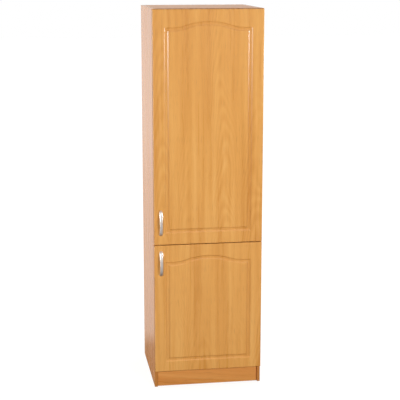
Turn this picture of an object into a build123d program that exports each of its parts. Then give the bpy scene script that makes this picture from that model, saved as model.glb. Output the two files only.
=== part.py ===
from build123d import *
from math import atan, cos, pi, sin, sqrt
import os

# Tall two-door larder unit. Front faces -Y, the doors hang on the right, origin on the floor
# below the middle of the overall box.

# Overall sizes
width = 600
height = 2100
carcass_depth = 560
board = 16
plinth_height = 100
plinth_recess = 12
plinth_groove_width = 2.5
plinth_groove_depth = 3.5
split_height = 828

# Play between pieces, and how many flats a round section is drawn with
fit = 0.05
shaft_sides = 6
pin_sides = 6
hole_sides = 12
cup_sides = 16
handle_sides = 12
blunt_share = 0.6

# Base glides
glide_height = 4
glide_radius = 7
glide_inset = 40
nail_radius = 1.5
nail_length = 14

# Back panels in a groove
back_thickness = 3
groove_inset = 14
groove_depth = 7
groove_play = 0.2
strip_wall = 1.2
strip_web = 2
strip_height = 18
shelf_back_gap = 1.6

# Wall rail
rail_height = 80
wall_hole_radius = 3
wall_hole_spacing = 400
back_hole_play = 0.5

# Doors
door_thickness = 18
door_gap = 3
door_reveal = 1
door_split = 4
door_top_reveal = 3
door_edge_radius = 4

# Arched door profile
profile_margin = 60
profile_band = 26
profile_depth = 5
profile_outer_run = 8.5
profile_inner_run = 9.5
arch_rise = 32
arch_flat = 38
arch_hollow_radius = 250
upper_arch_drop = 93
upper_profile_base = 63
lower_arch_drop = 93
lower_profile_base = 56

# Bow handles
handle_hole_spacing = 128
handle_from_edge = 37
handle_rise = 27
foot_half_width = 10.5
foot_half_length = 8.5
waist_half_width = 7.8
waist_half_thick = 4
handle_bands = 8
handle_thread_radius = 2
handle_thread_depth = 11
upper_handle_lift = 121
lower_handle_drop = 102
screw_head_radius = 4
screw_head_height = 2.4

# Door bumpers
bumper_radius = 4
bumper_play = 0.3
bumper_from_end = 40

# Cup hinges with one pin
hinge_from_end = 100
hinge_middle_drop = 90
pin_from_edge = 7.6
pin_from_back = 10
pin_radius = 1.25
pin_play = 0.06
eye_radius = 2.2
cup_radius = 17.5
cup_edge_wall = 3
cup_shell = 0.8
cup_floor_play = 0.3
flange_rim = 1
flange_thickness = 1.2
flange_screw_reach = 9.5
flange_screw_spacing = 45
flange_wing_radius = 6
lug_thickness = 1.7
lug_play = 0.3
lug_radius = 2.3
arm_thickness = 2
arm_height = 12
arm_bend = 3
arm_reach = 12.4
plate_front = 14
plate_length = 48
plate_height = 15
plate_wing = 2.5
plate_wing_radius = 7
plate_screw_setback = 37
plate_screw_spacing = 32
plate_screw_length = 13
arm_screw_offset = 14
wood_screw_radius = 2
wood_screw_length = 12

# Shelves and their pins
upper_shelf_count = 3
shelf_setback = 20
shelf_play = 1
shelf_rear_gap = 4
shelf_hole_radius = 2.5
shelf_hole_depth = 9
shelf_hole_pitch = 32
shelf_hole_setback = 57
shelf_pin_reach = 8
shelf_pin_width = 7
shelf_pin_height = 6

# Cam fittings and dowels
cam_radius = 7.5
cam_height = 12
cam_reach = 34
cam_setback = 60
cam_slot_width = 1.6
cam_slot_depth = 1.5
bolt_radius = 3
bolt_thread_radius = 2.5
bolt_thread_length = 10
bolt_play = 0.5
dowel_radius = 4
dowel_length = 32
dowel_side_depth = 11
dowel_spacing = 40

# Places that follow from the sizes above
handle_reach = handle_rise + waist_half_thick
total_depth = handle_reach + door_thickness + door_gap + carcass_depth
carcass_back = total_depth / 2
carcass_front = carcass_back - carcass_depth
door_back = carcass_front - door_gap
door_front = door_back - door_thickness
inner_half = width / 2 - board
inner_width = 2 * inner_half
top_underside = height - board
bottom_topside = plinth_height + board
split_underside = split_height - board / 2
split_topside = split_height + board / 2
back_rear_face = carcass_back - groove_inset
back_front_face = back_rear_face - back_thickness
back_half_width = inner_half + groove_depth - groove_play
panel_depth = back_front_face - shelf_back_gap - carcass_front
door_width = width - 2 * door_reveal
door_half = door_width / 2
lower_door_bottom = plinth_height
lower_door_top = split_height - door_split / 2
upper_door_bottom = split_height + door_split / 2
upper_door_top = height - door_top_reveal
upper_hinge_levels = [
    upper_door_bottom + hinge_from_end,
    (upper_door_bottom + upper_door_top) / 2 - hinge_middle_drop,
    upper_door_top - hinge_from_end,
]
lower_hinge_levels = [lower_door_bottom + hinge_from_end, lower_door_top - hinge_from_end]
hinge_levels = lower_hinge_levels + upper_hinge_levels
upper_handle_level = upper_door_bottom + upper_handle_lift
lower_handle_level = lower_door_top - lower_handle_drop
handle_x = handle_from_edge - door_half
shelf_step = (top_underside - split_topside) / (upper_shelf_count + 1)
upper_shelf_levels = [split_topside + shelf_step * (i + 1) - board / 2 for i in range(upper_shelf_count)]
lower_shelf_level = (bottom_topside + split_underside - board) / 2
shelf_levels = [lower_shelf_level] + upper_shelf_levels
shelf_hole_rows = [carcass_front + shelf_hole_setback, carcass_front + panel_depth - shelf_hole_setback]
cam_rows = [carcass_front + cam_setback, carcass_front + panel_depth - cam_setback]
joint_middle = carcass_front + panel_depth / 2
fixed_panel_middles = [plinth_height + board / 2, split_height, height - board / 2]
plinth_middle = (carcass_front + plinth_recess) + board / 2
plinth_centre_height = (glide_height + plinth_height) / 2
rail_middle = back_front_face - board / 2
rail_centre_height = top_underside - rail_height / 2
pin_x = door_half - pin_from_edge
pin_y = door_back - pin_from_back
cup_x = door_half - cup_edge_wall - cup_radius
neck_y = pin_y - eye_radius + arm_thickness / 2
strap_x = pin_x - arm_reach - arm_thickness / 2
strap_face = strap_x - arm_thickness / 2
strap_end = carcass_front + plate_front + plate_length
cup_bore_depth = door_back - (neck_y - arm_thickness / 2) + cup_floor_play + cup_shell
plate_thickness = inner_half - (strap_x + arm_thickness / 2)
plate_middle = carcass_front + plate_front + plate_length / 2
plate_screw_row = carcass_front + plate_screw_setback
arm_screw_rows = [plate_middle - arm_screw_offset, plate_middle + arm_screw_offset]
dowel_places = [(joint_middle, level) for level in fixed_panel_middles]
dowel_places += [(plinth_middle, plinth_centre_height + step * dowel_spacing / 2) for step in (-1, 1)]
dowel_places += [(rail_middle, rail_centre_height + step * dowel_spacing / 2) for step in (-1, 1)]
bolt_places = [(row, level) for row in cam_rows for level in fixed_panel_middles]

os.makedirs("parts", exist_ok=True)


def save(piece, label):
    """Names a finished piece and writes its file."""
    piece.label = label
    export_step(piece, f"parts/{label}.step")


def gather(pieces, label):
    """Keeps several equal pieces as separate solids under one name."""
    with BuildPart() as group:
        for piece in pieces:
            add(piece)
    save(group.part, label)


def shaft(radius):
    """Section of a small shaft or of its hole, drawn with a few flats."""
    RegularPolygon(radius, shaft_sides)


def blunt_strip(spacing, radius):
    """Upright strip with blunt ends around two holes at the given spacing."""
    end = spacing / 2 + radius
    blunt = blunt_share * radius
    upper = [(radius, end - blunt), (radius - blunt, end), (blunt - radius, end), (-radius, end - blunt)]
    Polygon(*upper, *[(-x, -y) for x, y in upper], align=None)


def side_panel(side, label):
    """Side board down to the floor; side is -1 on the left and 1 on the right."""
    inner_face = Plane.YZ.offset(side * inner_half)
    with BuildPart() as panel:
        with BuildSketch(inner_face):
            with Locations(((carcass_front + carcass_back) / 2, (glide_height + height) / 2)):
                Rectangle(carcass_depth, height - glide_height)
        extrude(amount=side * board)
        with BuildSketch(inner_face):
            with Locations((back_rear_face - back_thickness / 2, (glide_height + height) / 2)):
                Rectangle(back_thickness + 2 * groove_play, height - glide_height)
        extrude(amount=side * groove_depth, mode=Mode.SUBTRACT)
        with BuildSketch(inner_face):
            for row in shelf_hole_rows:
                for level in shelf_levels:
                    with Locations((row, level - shelf_hole_radius)):
                        with GridLocations(shelf_hole_pitch, shelf_hole_pitch, 1, 3):
                            shaft(shelf_hole_radius)
        extrude(amount=side * shelf_hole_depth, mode=Mode.SUBTRACT)
        with BuildSketch(inner_face):
            with Locations(*dowel_places):
                shaft(dowel_radius + fit)
        extrude(amount=side * (dowel_side_depth + fit), mode=Mode.SUBTRACT)
        with BuildSketch(inner_face):
            with Locations(*bolt_places):
                shaft(bolt_thread_radius + fit)
            if side > 0:
                for level in hinge_levels:
                    with Locations((plate_screw_row, level)):
                        with GridLocations(plate_screw_spacing, plate_screw_spacing, 1, 2):
                            shaft(wood_screw_radius + fit)
        extrude(amount=side * (bolt_thread_length + fit), mode=Mode.SUBTRACT)
        with BuildSketch(Plane.XY.offset(glide_height)):
            with Locations((side * (width - board) / 2, (carcass_front + carcass_back) / 2)):
                with GridLocations(0, carcass_depth - 2 * glide_inset, 1, 2):
                    shaft(nail_radius + fit)
        extrude(amount=nail_length + fit, mode=Mode.SUBTRACT)
    save(panel.part, label)


def fixed_panel(underside, depth, grooved, label):
    """Board between the sides, held by cams from below and by a dowel at each end."""
    with BuildPart() as panel:
        with BuildSketch(Plane.XY.offset(underside)):
            with Locations((0, carcass_front + depth / 2)):
                Rectangle(inner_width, depth)
        extrude(amount=board)
        with BuildSketch(Plane.XY.offset(underside)):
            for row in cam_rows:
                with Locations((inner_half - cam_reach, row), (cam_reach - inner_half, row)):
                    shaft(cam_radius + fit)
        extrude(amount=cam_height + fit, mode=Mode.SUBTRACT)
        for side in (-1, 1):
            end_face = Plane.YZ.offset(side * inner_half)
            with BuildSketch(end_face):
                with Locations(*[(row, underside + board / 2) for row in cam_rows]):
                    shaft(bolt_radius + bolt_play)
            extrude(amount=-side * cam_reach, mode=Mode.SUBTRACT)
            with BuildSketch(end_face):
                with Locations((joint_middle, underside + board / 2)):
                    shaft(dowel_radius + fit)
            extrude(amount=side * (dowel_side_depth - dowel_length - fit), mode=Mode.SUBTRACT)
        if grooved:
            with BuildSketch(Plane.XY.offset(underside)):
                with Locations((0, back_rear_face - back_thickness / 2)):
                    Rectangle(inner_width, back_thickness + 2 * groove_play)
            extrude(amount=groove_depth, mode=Mode.SUBTRACT)
    save(panel.part, label)


def upright_board(front, bottom, top, hole_radius, end_groove, label):
    """Upright board across the unit with two dowels at each end, and a shadow groove there if asked for."""
    middle = (bottom + top) / 2
    with BuildPart() as panel:
        with BuildSketch(Plane.XZ.offset(-front)):
            with Locations((0, middle)):
                Rectangle(inner_width, top - bottom)
                if hole_radius:
                    with GridLocations(wall_hole_spacing, 0, 2, 1):
                        Circle(hole_radius, mode=Mode.SUBTRACT)
        extrude(amount=-board)
        if end_groove:
            with BuildSketch(Plane.XZ.offset(-front)):
                with Locations((0, middle)):
                    with GridLocations(inner_width - end_groove, 0, 2, 1):
                        Rectangle(end_groove, top - bottom)
            extrude(amount=-plinth_groove_depth, mode=Mode.SUBTRACT)
        for side in (-1, 1):
            with BuildSketch(Plane.YZ.offset(side * inner_half)):
                with Locations((front + board / 2, middle)):
                    with GridLocations(0, dowel_spacing, 1, 2):
                        shaft(dowel_radius + fit)
            extrude(amount=side * (dowel_side_depth - dowel_length - fit), mode=Mode.SUBTRACT)
    save(panel.part, label)


def back_panel(bottom, top, with_holes, label):
    """Thin back board in the grooves of the sides."""
    with BuildPart() as panel:
        with BuildSketch(Plane.XZ.offset(-back_front_face)):
            with Locations((0, (bottom + top) / 2)):
                Rectangle(2 * back_half_width, top - bottom)
            if with_holes:
                with Locations((0, rail_centre_height)):
                    with GridLocations(wall_hole_spacing, 0, 2, 1):
                        RegularPolygon(wall_hole_radius + back_hole_play, hole_sides, mode=Mode.SUBTRACT)
        extrude(amount=-back_thickness)
    save(panel.part, label)


def loose_shelf(underside, label):
    """Shelf lying on four pins, set back behind the doors."""
    depth = panel_depth + shelf_back_gap - shelf_setback - shelf_rear_gap
    with BuildPart() as shelf:
        with BuildSketch(Plane.XY.offset(underside)):
            with Locations((0, carcass_front + shelf_setback + depth / 2)):
                Rectangle(inner_width - 2 * shelf_play, depth)
        extrude(amount=board)
    save(shelf.part, label)


def shelf_pin(side, row, level):
    """Peg in the side board with a flat spade under the shelf."""
    with BuildPart() as pin:
        with BuildSketch(Plane.YZ.offset(side * inner_half)):
            with Locations((row, level - shelf_hole_radius)):
                shaft(shelf_hole_radius - fit)
        extrude(amount=side * (shelf_hole_depth - fit))
        with BuildSketch(Plane.YZ.offset(side * inner_half)):
            with Locations((row, level - shelf_pin_height / 2)):
                Rectangle(shelf_pin_width, shelf_pin_height)
        extrude(amount=-side * shelf_pin_reach)
        spade_end = pin.faces().sort_by(Axis.X)[0 if side > 0 else -1]
        chamfer(spade_end.edges().sort_by(Axis.Z)[0], length=shelf_pin_height / 2)
    return pin.part


def cam(side, row, underside):
    """Drum that draws the bolt head in, with a driver slot below."""
    with BuildPart() as drum:
        with BuildSketch(Plane.XY.offset(underside)):
            with Locations((side * (inner_half - cam_reach), row)):
                shaft(cam_radius)
        extrude(amount=cam_height)
        with BuildSketch(Plane.XY.offset(underside)):
            with Locations((side * (inner_half - cam_reach), row)):
                Rectangle(cam_slot_width, cam_radius)
        extrude(amount=cam_slot_depth, mode=Mode.SUBTRACT)
        with BuildSketch(Plane.YZ.offset(side * inner_half)):
            with Locations((row, underside + board / 2)):
                shaft(bolt_radius + bolt_play)
        extrude(amount=-side * cam_reach, mode=Mode.SUBTRACT)
    return drum.part


def cam_bolt(side, row, level):
    """Bolt screwed into the side board and caught by the cam."""
    with BuildPart() as bolt:
        with BuildSketch(Plane.YZ.offset(side * inner_half)):
            with Locations((row, level)):
                shaft(bolt_thread_radius)
        extrude(amount=side * bolt_thread_length)
        with BuildSketch(Plane.YZ.offset(side * inner_half)):
            with Locations((row, level)):
                shaft(bolt_radius)
        extrude(amount=-side * (cam_reach - bolt_play))
    return bolt.part


def dowel(side, row, level):
    """Wooden dowel across the joint of a side board."""
    with BuildPart() as peg:
        with BuildSketch(Plane.YZ.offset(side * (inner_half + dowel_side_depth))):
            with Locations((row, level)):
                shaft(dowel_radius)
        extrude(amount=-side * dowel_length)
    return peg.part


def base_glide(side, row):
    """Round glide nailed under the edge of a side board."""
    with BuildPart() as glide:
        with BuildSketch(Plane.XY):
            with Locations((side * (width - board) / 2, row)):
                shaft(glide_radius)
        extrude(amount=glide_height)
        with BuildSketch(Plane.XY.offset(glide_height)):
            with Locations((side * (width - board) / 2, row)):
                shaft(nail_radius)
        extrude(amount=nail_length)
    return glide.part


def hinge_plate(level):
    """Mounting plate on the right side board, with two winged screw holes."""
    side_face = Plane.YZ.offset(inner_half)
    with BuildPart() as plate:
        with BuildSketch(side_face):
            with Locations((plate_middle, level)):
                Rectangle(plate_length, plate_height)
        extrude(amount=-plate_thickness)
        with BuildSketch(side_face):
            with Locations((plate_screw_row, level)):
                blunt_strip(plate_screw_spacing, plate_wing_radius)
        extrude(amount=-plate_wing)
        with BuildSketch(side_face):
            with Locations((plate_screw_row, level)):
                with GridLocations(0, plate_screw_spacing, 1, 2):
                    shaft(wood_screw_radius + fit)
            for row in arm_screw_rows:
                with Locations((row, level)):
                    shaft(wood_screw_radius + fit)
        extrude(amount=-plate_thickness, mode=Mode.SUBTRACT)
    return plate.part


def plate_screw(level):
    """Pan-head screw through a wing of the mounting plate."""
    with BuildPart() as screw:
        with BuildSketch(Plane.YZ.offset(inner_half - plate_wing)):
            with Locations((plate_screw_row, level)):
                shaft(wood_screw_radius)
        extrude(amount=plate_screw_length - plate_wing - fit)
        with BuildSketch(Plane.YZ.offset(inner_half - plate_wing)):
            with Locations((plate_screw_row, level)):
                shaft(screw_head_radius)
        extrude(amount=-screw_head_height)
    return screw.part


def arm_screw(row, level):
    """Screw that clamps the arm on its plate."""
    with BuildPart() as screw:
        with BuildSketch(Plane.YZ.offset(strap_face)):
            with Locations((row, level)):
                shaft(wood_screw_radius)
        extrude(amount=arm_thickness + plate_thickness - fit)
        with BuildSketch(Plane.YZ.offset(strap_face)):
            with Locations((row, level)):
                shaft(screw_head_radius)
        extrude(amount=-screw_head_height)
    return screw.part


def hinge_arm(level):
    """Cranked steel arm: a strap on the plate that turns into the cup and ends in the pin eye."""
    base = Plane.XY.offset(level - arm_height / 2)
    half = arm_thickness / 2
    mitre = half * (sqrt(2) - 1)
    bend_x = strap_x + arm_bend
    bend_y = neck_y + arm_bend
    lower_edge = [(pin_x, neck_y - half), (bend_x - mitre, neck_y - half)]
    lower_edge += [(strap_x - half, bend_y - mitre), (strap_x - half, strap_end)]
    upper_edge = [(pin_x, neck_y + half), (bend_x + mitre, neck_y + half)]
    upper_edge += [(strap_x + half, bend_y + mitre), (strap_x + half, strap_end)]
    with BuildPart() as arm:
        with BuildSketch(base):
            Polygon(*lower_edge, *reversed(upper_edge), align=None)
            with Locations((pin_x, pin_y)):
                RegularPolygon(eye_radius, pin_sides)
                RegularPolygon(pin_radius + pin_play, pin_sides, major_radius=False, mode=Mode.SUBTRACT)
        extrude(amount=arm_height)
        with BuildSketch(Plane.YZ.offset(strap_face)):
            for row in arm_screw_rows:
                with Locations((row, level)):
                    shaft(wood_screw_radius + fit)
        extrude(amount=arm_thickness, mode=Mode.SUBTRACT)
    return arm.part


def hinge_cup(level):
    """Pressed cup in the door with a screwed flange and two lugs for the pin."""
    door_face = Plane.XZ.offset(-door_back)
    lug_start = arm_height / 2 + lug_play
    with BuildPart() as cup:
        with BuildSketch(door_face):
            with Locations((cup_x, level)):
                RegularPolygon(cup_radius - fit, cup_sides)
        extrude(amount=cup_bore_depth)
        with BuildSketch(door_face):
            with Locations((cup_x, level)):
                RegularPolygon(cup_radius + flange_rim, cup_sides)
            with Locations((cup_x - flange_screw_reach, level)):
                blunt_strip(flange_screw_spacing, flange_wing_radius)
        extrude(amount=-flange_thickness)
        with BuildSketch(door_face.offset(-flange_thickness)):
            with Locations((cup_x, level)):
                RegularPolygon(cup_radius - fit - cup_shell, cup_sides)
        extrude(amount=flange_thickness + cup_bore_depth - cup_shell, mode=Mode.SUBTRACT)
        with BuildSketch(door_face):
            with Locations((cup_x - flange_screw_reach, level)):
                with GridLocations(0, flange_screw_spacing, 1, 2):
                    shaft(wood_screw_radius + fit)
        extrude(amount=-flange_thickness, mode=Mode.SUBTRACT)
        for start in (level + lug_start, level - lug_start - lug_thickness):
            with BuildSketch(Plane.XY.offset(start)):
                with Locations((pin_x, pin_y)):
                    RegularPolygon(lug_radius, pin_sides)
                    floor_run = cup_bore_depth - cup_shell - pin_from_back
                    with Locations((0, -floor_run / 2)):
                        Rectangle(2 * lug_radius, floor_run)
                    RegularPolygon(pin_radius + fit, pin_sides, mode=Mode.SUBTRACT)
            extrude(amount=lug_thickness)
    return cup.part


def cup_screw(level):
    """Pan-head screw through the cup flange into the door."""
    flange_face = Plane.XZ.offset(-door_back - flange_thickness)
    with BuildPart() as screw:
        with BuildSketch(flange_face):
            with Locations((cup_x - flange_screw_reach, level)):
                shaft(wood_screw_radius)
        extrude(amount=flange_thickness + wood_screw_length - fit)
        with BuildSketch(flange_face):
            with Locations((cup_x - flange_screw_reach, level)):
                shaft(screw_head_radius)
        extrude(amount=-screw_head_height)
    return screw.part


def hinge_pin(level):
    """Steel pin through the lugs and the arm's eye."""
    half_length = arm_height / 2 + lug_play + lug_thickness
    with BuildPart() as pin:
        with BuildSketch(Plane.XY.offset(level - half_length)):
            with Locations((pin_x, pin_y)):
                RegularPolygon(pin_radius, pin_sides)
        extrude(amount=2 * half_length)
    return pin.part


def arch_outline(inset, base, shoulder):
    """Closed outline with an arched top, drawn inset from the outer line of the profile."""
    half = door_half - profile_margin - inset
    run = door_half - profile_margin - arch_flat
    turn = 2 * atan(arch_rise / run)
    crown_radius = run / sin(turn) - arch_hollow_radius
    low = shoulder - inset
    bend_x = (crown_radius - inset) * sin(turn)
    bend_z = low + (arch_hollow_radius + inset) * (1 - cos(turn))
    foot = base + inset
    with BuildSketch() as outline:
        with BuildLine():
            Polyline((-run, low), (-half, low), (-half, foot), (half, foot), (half, low), (run, low))
            TangentArc((-run, low), (-bend_x, bend_z), tangent=(1, 0))
            TangentArc((-bend_x, bend_z), (bend_x, bend_z), tangent=(cos(turn), sin(turn)))
            TangentArc((run, low), (bend_x, bend_z), tangent=(-1, 0))
        make_face()
    return outline.sketch_local


def door_panel(bottom, top, profile_base, arch_drop, hinge_rows, handle_level, label):
    """Door with a routed arched channel: a sloped outer wall, a level band and a slope up to the field."""
    base = bottom + profile_base
    shoulder = top - arch_drop
    front_face = Plane.XZ.offset(-door_front)
    floor_face = front_face.offset(-profile_depth)
    with BuildPart() as door:
        with BuildSketch(Plane.XZ.offset(-door_back)):
            with Locations((0, (bottom + top) / 2)):
                Rectangle(door_width, top - bottom)
        extrude(amount=door_thickness)
        fillet(door.faces().sort_by(Axis.Y)[0].edges(), door_edge_radius)
        with BuildSketch(front_face):
            add(arch_outline(0, base, shoulder))
        with BuildSketch(floor_face):
            add(arch_outline(profile_outer_run, base, shoulder))
        loft(ruled=True, mode=Mode.SUBTRACT)
        with BuildSketch(floor_face):
            add(arch_outline(profile_band - profile_inner_run, base, shoulder))
        with BuildSketch(front_face):
            add(arch_outline(profile_band, base, shoulder))
        loft(ruled=True)
        with BuildSketch(Plane.XZ.offset(-door_back)):
            for row in hinge_rows:
                with Locations((cup_x, row)):
                    RegularPolygon(cup_radius, cup_sides)
        extrude(amount=cup_bore_depth, mode=Mode.SUBTRACT)
        with BuildSketch(Plane.XZ.offset(-door_back)):
            for row in hinge_rows:
                with Locations((cup_x - flange_screw_reach, row)):
                    with GridLocations(0, flange_screw_spacing, 1, 2):
                        shaft(wood_screw_radius + fit)
        extrude(amount=wood_screw_length, mode=Mode.SUBTRACT)
        with BuildSketch(Plane.XZ.offset(-door_back)):
            with Locations((handle_x, handle_level)):
                with GridLocations(0, handle_hole_spacing, 1, 2):
                    shaft(handle_thread_radius + fit)
        extrude(amount=door_thickness, mode=Mode.SUBTRACT)
    save(door.part, label)


def bow_handle(level, label):
    """Bow handle on a half-ellipse line, wide oval feet and a slimmer waist."""
    half_span = handle_hole_spacing / 2
    with BuildPart() as handle:
        for station in range(handle_bands + 1):
            angle = pi * station / handle_bands
            slim = sin(angle)
            centre = (handle_x, door_front - handle_rise * sin(angle), level - half_span * cos(angle))
            heading = (0, -handle_rise * cos(angle), half_span * sin(angle))
            with BuildSketch(Plane(origin=centre, x_dir=(1, 0, 0), z_dir=heading)):
                across = foot_half_width + (waist_half_width - foot_half_width) * slim
                thick = foot_half_length + (waist_half_thick - foot_half_length) * sqrt(slim)
                turns = [2 * pi * i / handle_sides for i in range(handle_sides)]
                Polygon(*[(across * cos(turn), thick * sin(turn)) for turn in turns], align=None)
        loft(ruled=True)
        with BuildSketch(Plane.XZ.offset(-door_front)):
            with Locations((handle_x, level)):
                with GridLocations(0, handle_hole_spacing, 1, 2):
                    shaft(handle_thread_radius + fit)
        extrude(amount=handle_thread_depth, mode=Mode.SUBTRACT)
    save(handle.part, label)


def handle_screw(level):
    """Screw from the back of the door into a handle foot."""
    with BuildPart() as screw:
        with BuildSketch(Plane.XZ.offset(-door_back)):
            with Locations((handle_x, level)):
                shaft(handle_thread_radius)
        extrude(amount=door_thickness + handle_thread_depth - fit)
        with BuildSketch(Plane.XZ.offset(-door_back)):
            with Locations((handle_x, level)):
                shaft(screw_head_radius)
        extrude(amount=-screw_head_height)
    return screw.part


def door_bumper(level):
    """Soft stop on the door, in front of the edge of the left side board."""
    with BuildPart() as bumper:
        with BuildSketch(Plane.XZ.offset(-door_back)):
            with Locations(((board - width) / 2, level)):
                shaft(bumper_radius)
        extrude(amount=bumper_play - door_gap)
    return bumper.part


def hang_door(name, bottom, top, profile_base, arch_drop, hinge_rows, handle_level):
    """Door with everything that swings with it."""
    half_span = handle_hole_spacing / 2
    half_flange = flange_screw_spacing / 2
    cup_screw_rows = [row + step * half_flange for row in hinge_rows for step in (-1, 1)]
    bumper_rows = [bottom + bumper_from_end, top - bumper_from_end]
    door_panel(bottom, top, profile_base, arch_drop, hinge_rows, handle_level, f"{name}_door")
    gather([hinge_cup(row) for row in hinge_rows], f"{name}_hinge_cups")
    gather([cup_screw(row) for row in cup_screw_rows], f"{name}_cup_screws")
    gather([hinge_pin(row) for row in hinge_rows], f"{name}_hinge_pins")
    bow_handle(handle_level, f"{name}_handle")
    gather([handle_screw(handle_level + step * half_span) for step in (-1, 1)], f"{name}_handle_screws")
    gather([door_bumper(row) for row in bumper_rows], f"{name}_door_bumpers")


# Carcass boards
side_panel(-1, "side_panel_left")
side_panel(1, "side_panel_right")
fixed_panel(plinth_height, panel_depth, False, "bottom_panel")
fixed_panel(split_underside, panel_depth, False, "fixed_shelf")
fixed_panel(top_underside, carcass_depth, True, "top_panel")
upright_board(carcass_front + plinth_recess, glide_height, plinth_height, 0, plinth_groove_width, "plinth")
rail_bottom = top_underside - rail_height
upright_board(back_front_face - board, rail_bottom, top_underside, wall_hole_radius, 0, "wall_rail")

# Back panels and the strip that joins them behind the fixed shelf
back_panel(plinth_height, split_height - strip_web / 2, False, "back_panel_lower")
back_top = top_underside + groove_depth - groove_play
back_panel(split_height + strip_web / 2, back_top, True, "back_panel_upper")
with BuildPart() as back_strip:
    slot_width = back_thickness + 2 * groove_play
    with BuildSketch(Plane.YZ.offset(-inner_half)):
        with Locations((back_rear_face - back_thickness / 2, split_height)):
            Rectangle(slot_width + 2 * strip_wall, strip_height)
            with GridLocations(0, (strip_height + strip_web) / 2, 1, 2):
                Rectangle(slot_width, (strip_height - strip_web) / 2, mode=Mode.SUBTRACT)
    extrude(amount=inner_width)
save(back_strip.part, "back_strip")

# Loose shelves and shelf pins
loose_shelf(lower_shelf_level, "lower_shelf")
for number, level in enumerate(upper_shelf_levels, start=1):
    loose_shelf(level, f"upper_shelf_{number}")
pin_places = [(side, row, level) for side in (-1, 1) for row in shelf_hole_rows for level in shelf_levels]
gather([shelf_pin(*place) for place in pin_places], "shelf_pins")

# Joints between the boards
undersides = [level - board / 2 for level in fixed_panel_middles]
cam_places = [(side, row, underside) for side in (-1, 1) for row in cam_rows for underside in undersides]
gather([cam(*place) for place in cam_places], "cam_drums")
gather([cam_bolt(side, *place) for side in (-1, 1) for place in bolt_places], "cam_bolts")
gather([dowel(side, *place) for side in (-1, 1) for place in dowel_places], "dowels")
glide_rows = [carcass_front + glide_inset, carcass_back - glide_inset]
gather([base_glide(side, row) for side in (-1, 1) for row in glide_rows], "base_glides")

# Hinge halves on the right side board
plate_screw_levels = [level + step * plate_screw_spacing / 2 for level in hinge_levels for step in (-1, 1)]
gather([hinge_plate(level) for level in hinge_levels], "hinge_plates")
gather([plate_screw(level) for level in plate_screw_levels], "hinge_plate_screws")
gather([hinge_arm(level) for level in hinge_levels], "hinge_arms")
gather([arm_screw(row, level) for level in hinge_levels for row in arm_screw_rows], "hinge_arm_screws")

# Doors
hang_door(
    "upper", upper_door_bottom, upper_door_top, upper_profile_base, upper_arch_drop,
    upper_hinge_levels, upper_handle_level,
)
hang_door(
    "lower", lower_door_bottom, lower_door_top, lower_profile_base, lower_arch_drop,
    lower_hinge_levels, lower_handle_level,
)
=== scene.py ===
import math

import bmesh
import bpy
from mathutils import Matrix, Vector


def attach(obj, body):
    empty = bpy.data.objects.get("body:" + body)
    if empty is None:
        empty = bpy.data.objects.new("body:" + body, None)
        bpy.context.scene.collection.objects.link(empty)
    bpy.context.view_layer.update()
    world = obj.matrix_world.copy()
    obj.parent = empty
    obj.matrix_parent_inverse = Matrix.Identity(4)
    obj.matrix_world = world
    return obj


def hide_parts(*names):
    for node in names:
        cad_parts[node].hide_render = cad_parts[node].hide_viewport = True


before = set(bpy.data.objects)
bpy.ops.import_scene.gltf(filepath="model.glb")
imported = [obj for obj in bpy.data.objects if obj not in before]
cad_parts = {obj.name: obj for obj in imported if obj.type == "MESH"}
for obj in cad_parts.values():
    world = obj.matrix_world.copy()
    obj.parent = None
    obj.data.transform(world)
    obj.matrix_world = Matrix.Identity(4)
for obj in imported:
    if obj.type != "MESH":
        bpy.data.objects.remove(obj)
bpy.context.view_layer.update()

FORWARDS, BACKWARDS, LEFTWARDS = (0, -1, 0), (0, 1, 0), (-1, 0, 0)
UPWARDS, DOWNWARDS = (0, 0, 1), (0, 0, -1)

# Sizes of the unit in metres: front towards -Y, floor at height zero
CARCASS_FRONT = -0.254
CARCASS_BACK = 0.306
SIDE_MIDDLE = 0.292
BACK_BOARD_MIDDLE = (0.2893, 0.2896)
DOOR_HALF = 0.299
DOOR_FRONT = -0.275
DOOR_BACK = -0.257
DOOR_ROUNDING = 0.004
DOOR_BACK_EASING = 0.0006
# Levels of each door: its ends, the foot and shoulder of its routed line, its hinges and its handle
DOORS = {
    "upper": {"bottom": 0.830, "top": 2.097, "base": 0.893, "shoulder": 2.004,
              "hinges": (0.930, 1.3735, 1.997), "handle": 0.951},
    "lower": {"bottom": 0.100, "top": 0.826, "base": 0.156, "shoulder": 0.733,
              "hinges": (0.200, 0.726), "handle": 0.724},
}
HINGE_LEVELS = DOORS["lower"]["hinges"] + DOORS["upper"]["hinges"]

# Routed line of the doors, seen from the front
LINE_INSET = 0.060
SHOULDER_WIDTH = 0.038
ARCH_RISE = 0.032
HOLLOW_RADIUS = 0.25
# Its mitres lie within this half width
MITRE_REACH = 0.25
# The line's cross-section in millimetres: run inwards from the outer line, depth below the face.
# A rounded wall goes down, a level band follows, and a second rounded wall comes up to the field.
WALL_SHAPE = ((0.06, 0.012), (0.13, 0.06), (0.22, 0.15), (0.78, 0.85), (0.87, 0.94), (0.94, 0.988),
              (1.0, 1.0))
LINE_DEPTH = 5.0
OUTER_WALL = 8.5
BAND_MIDDLE, BAND_END = 12.5, 16.5
FIELD_WALL = 9.5
ROUTED_STEPS = [(OUTER_WALL * run, LINE_DEPTH * fall) for run, fall in WALL_SHAPE]
ROUTED_STEPS += [(BAND_MIDDLE, LINE_DEPTH), (BAND_END, LINE_DEPTH)]
ROUTED_STEPS += [(BAND_END + FIELD_WALL * run, LINE_DEPTH - LINE_DEPTH * rise)
                 for run, rise in WALL_SHAPE]

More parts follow.
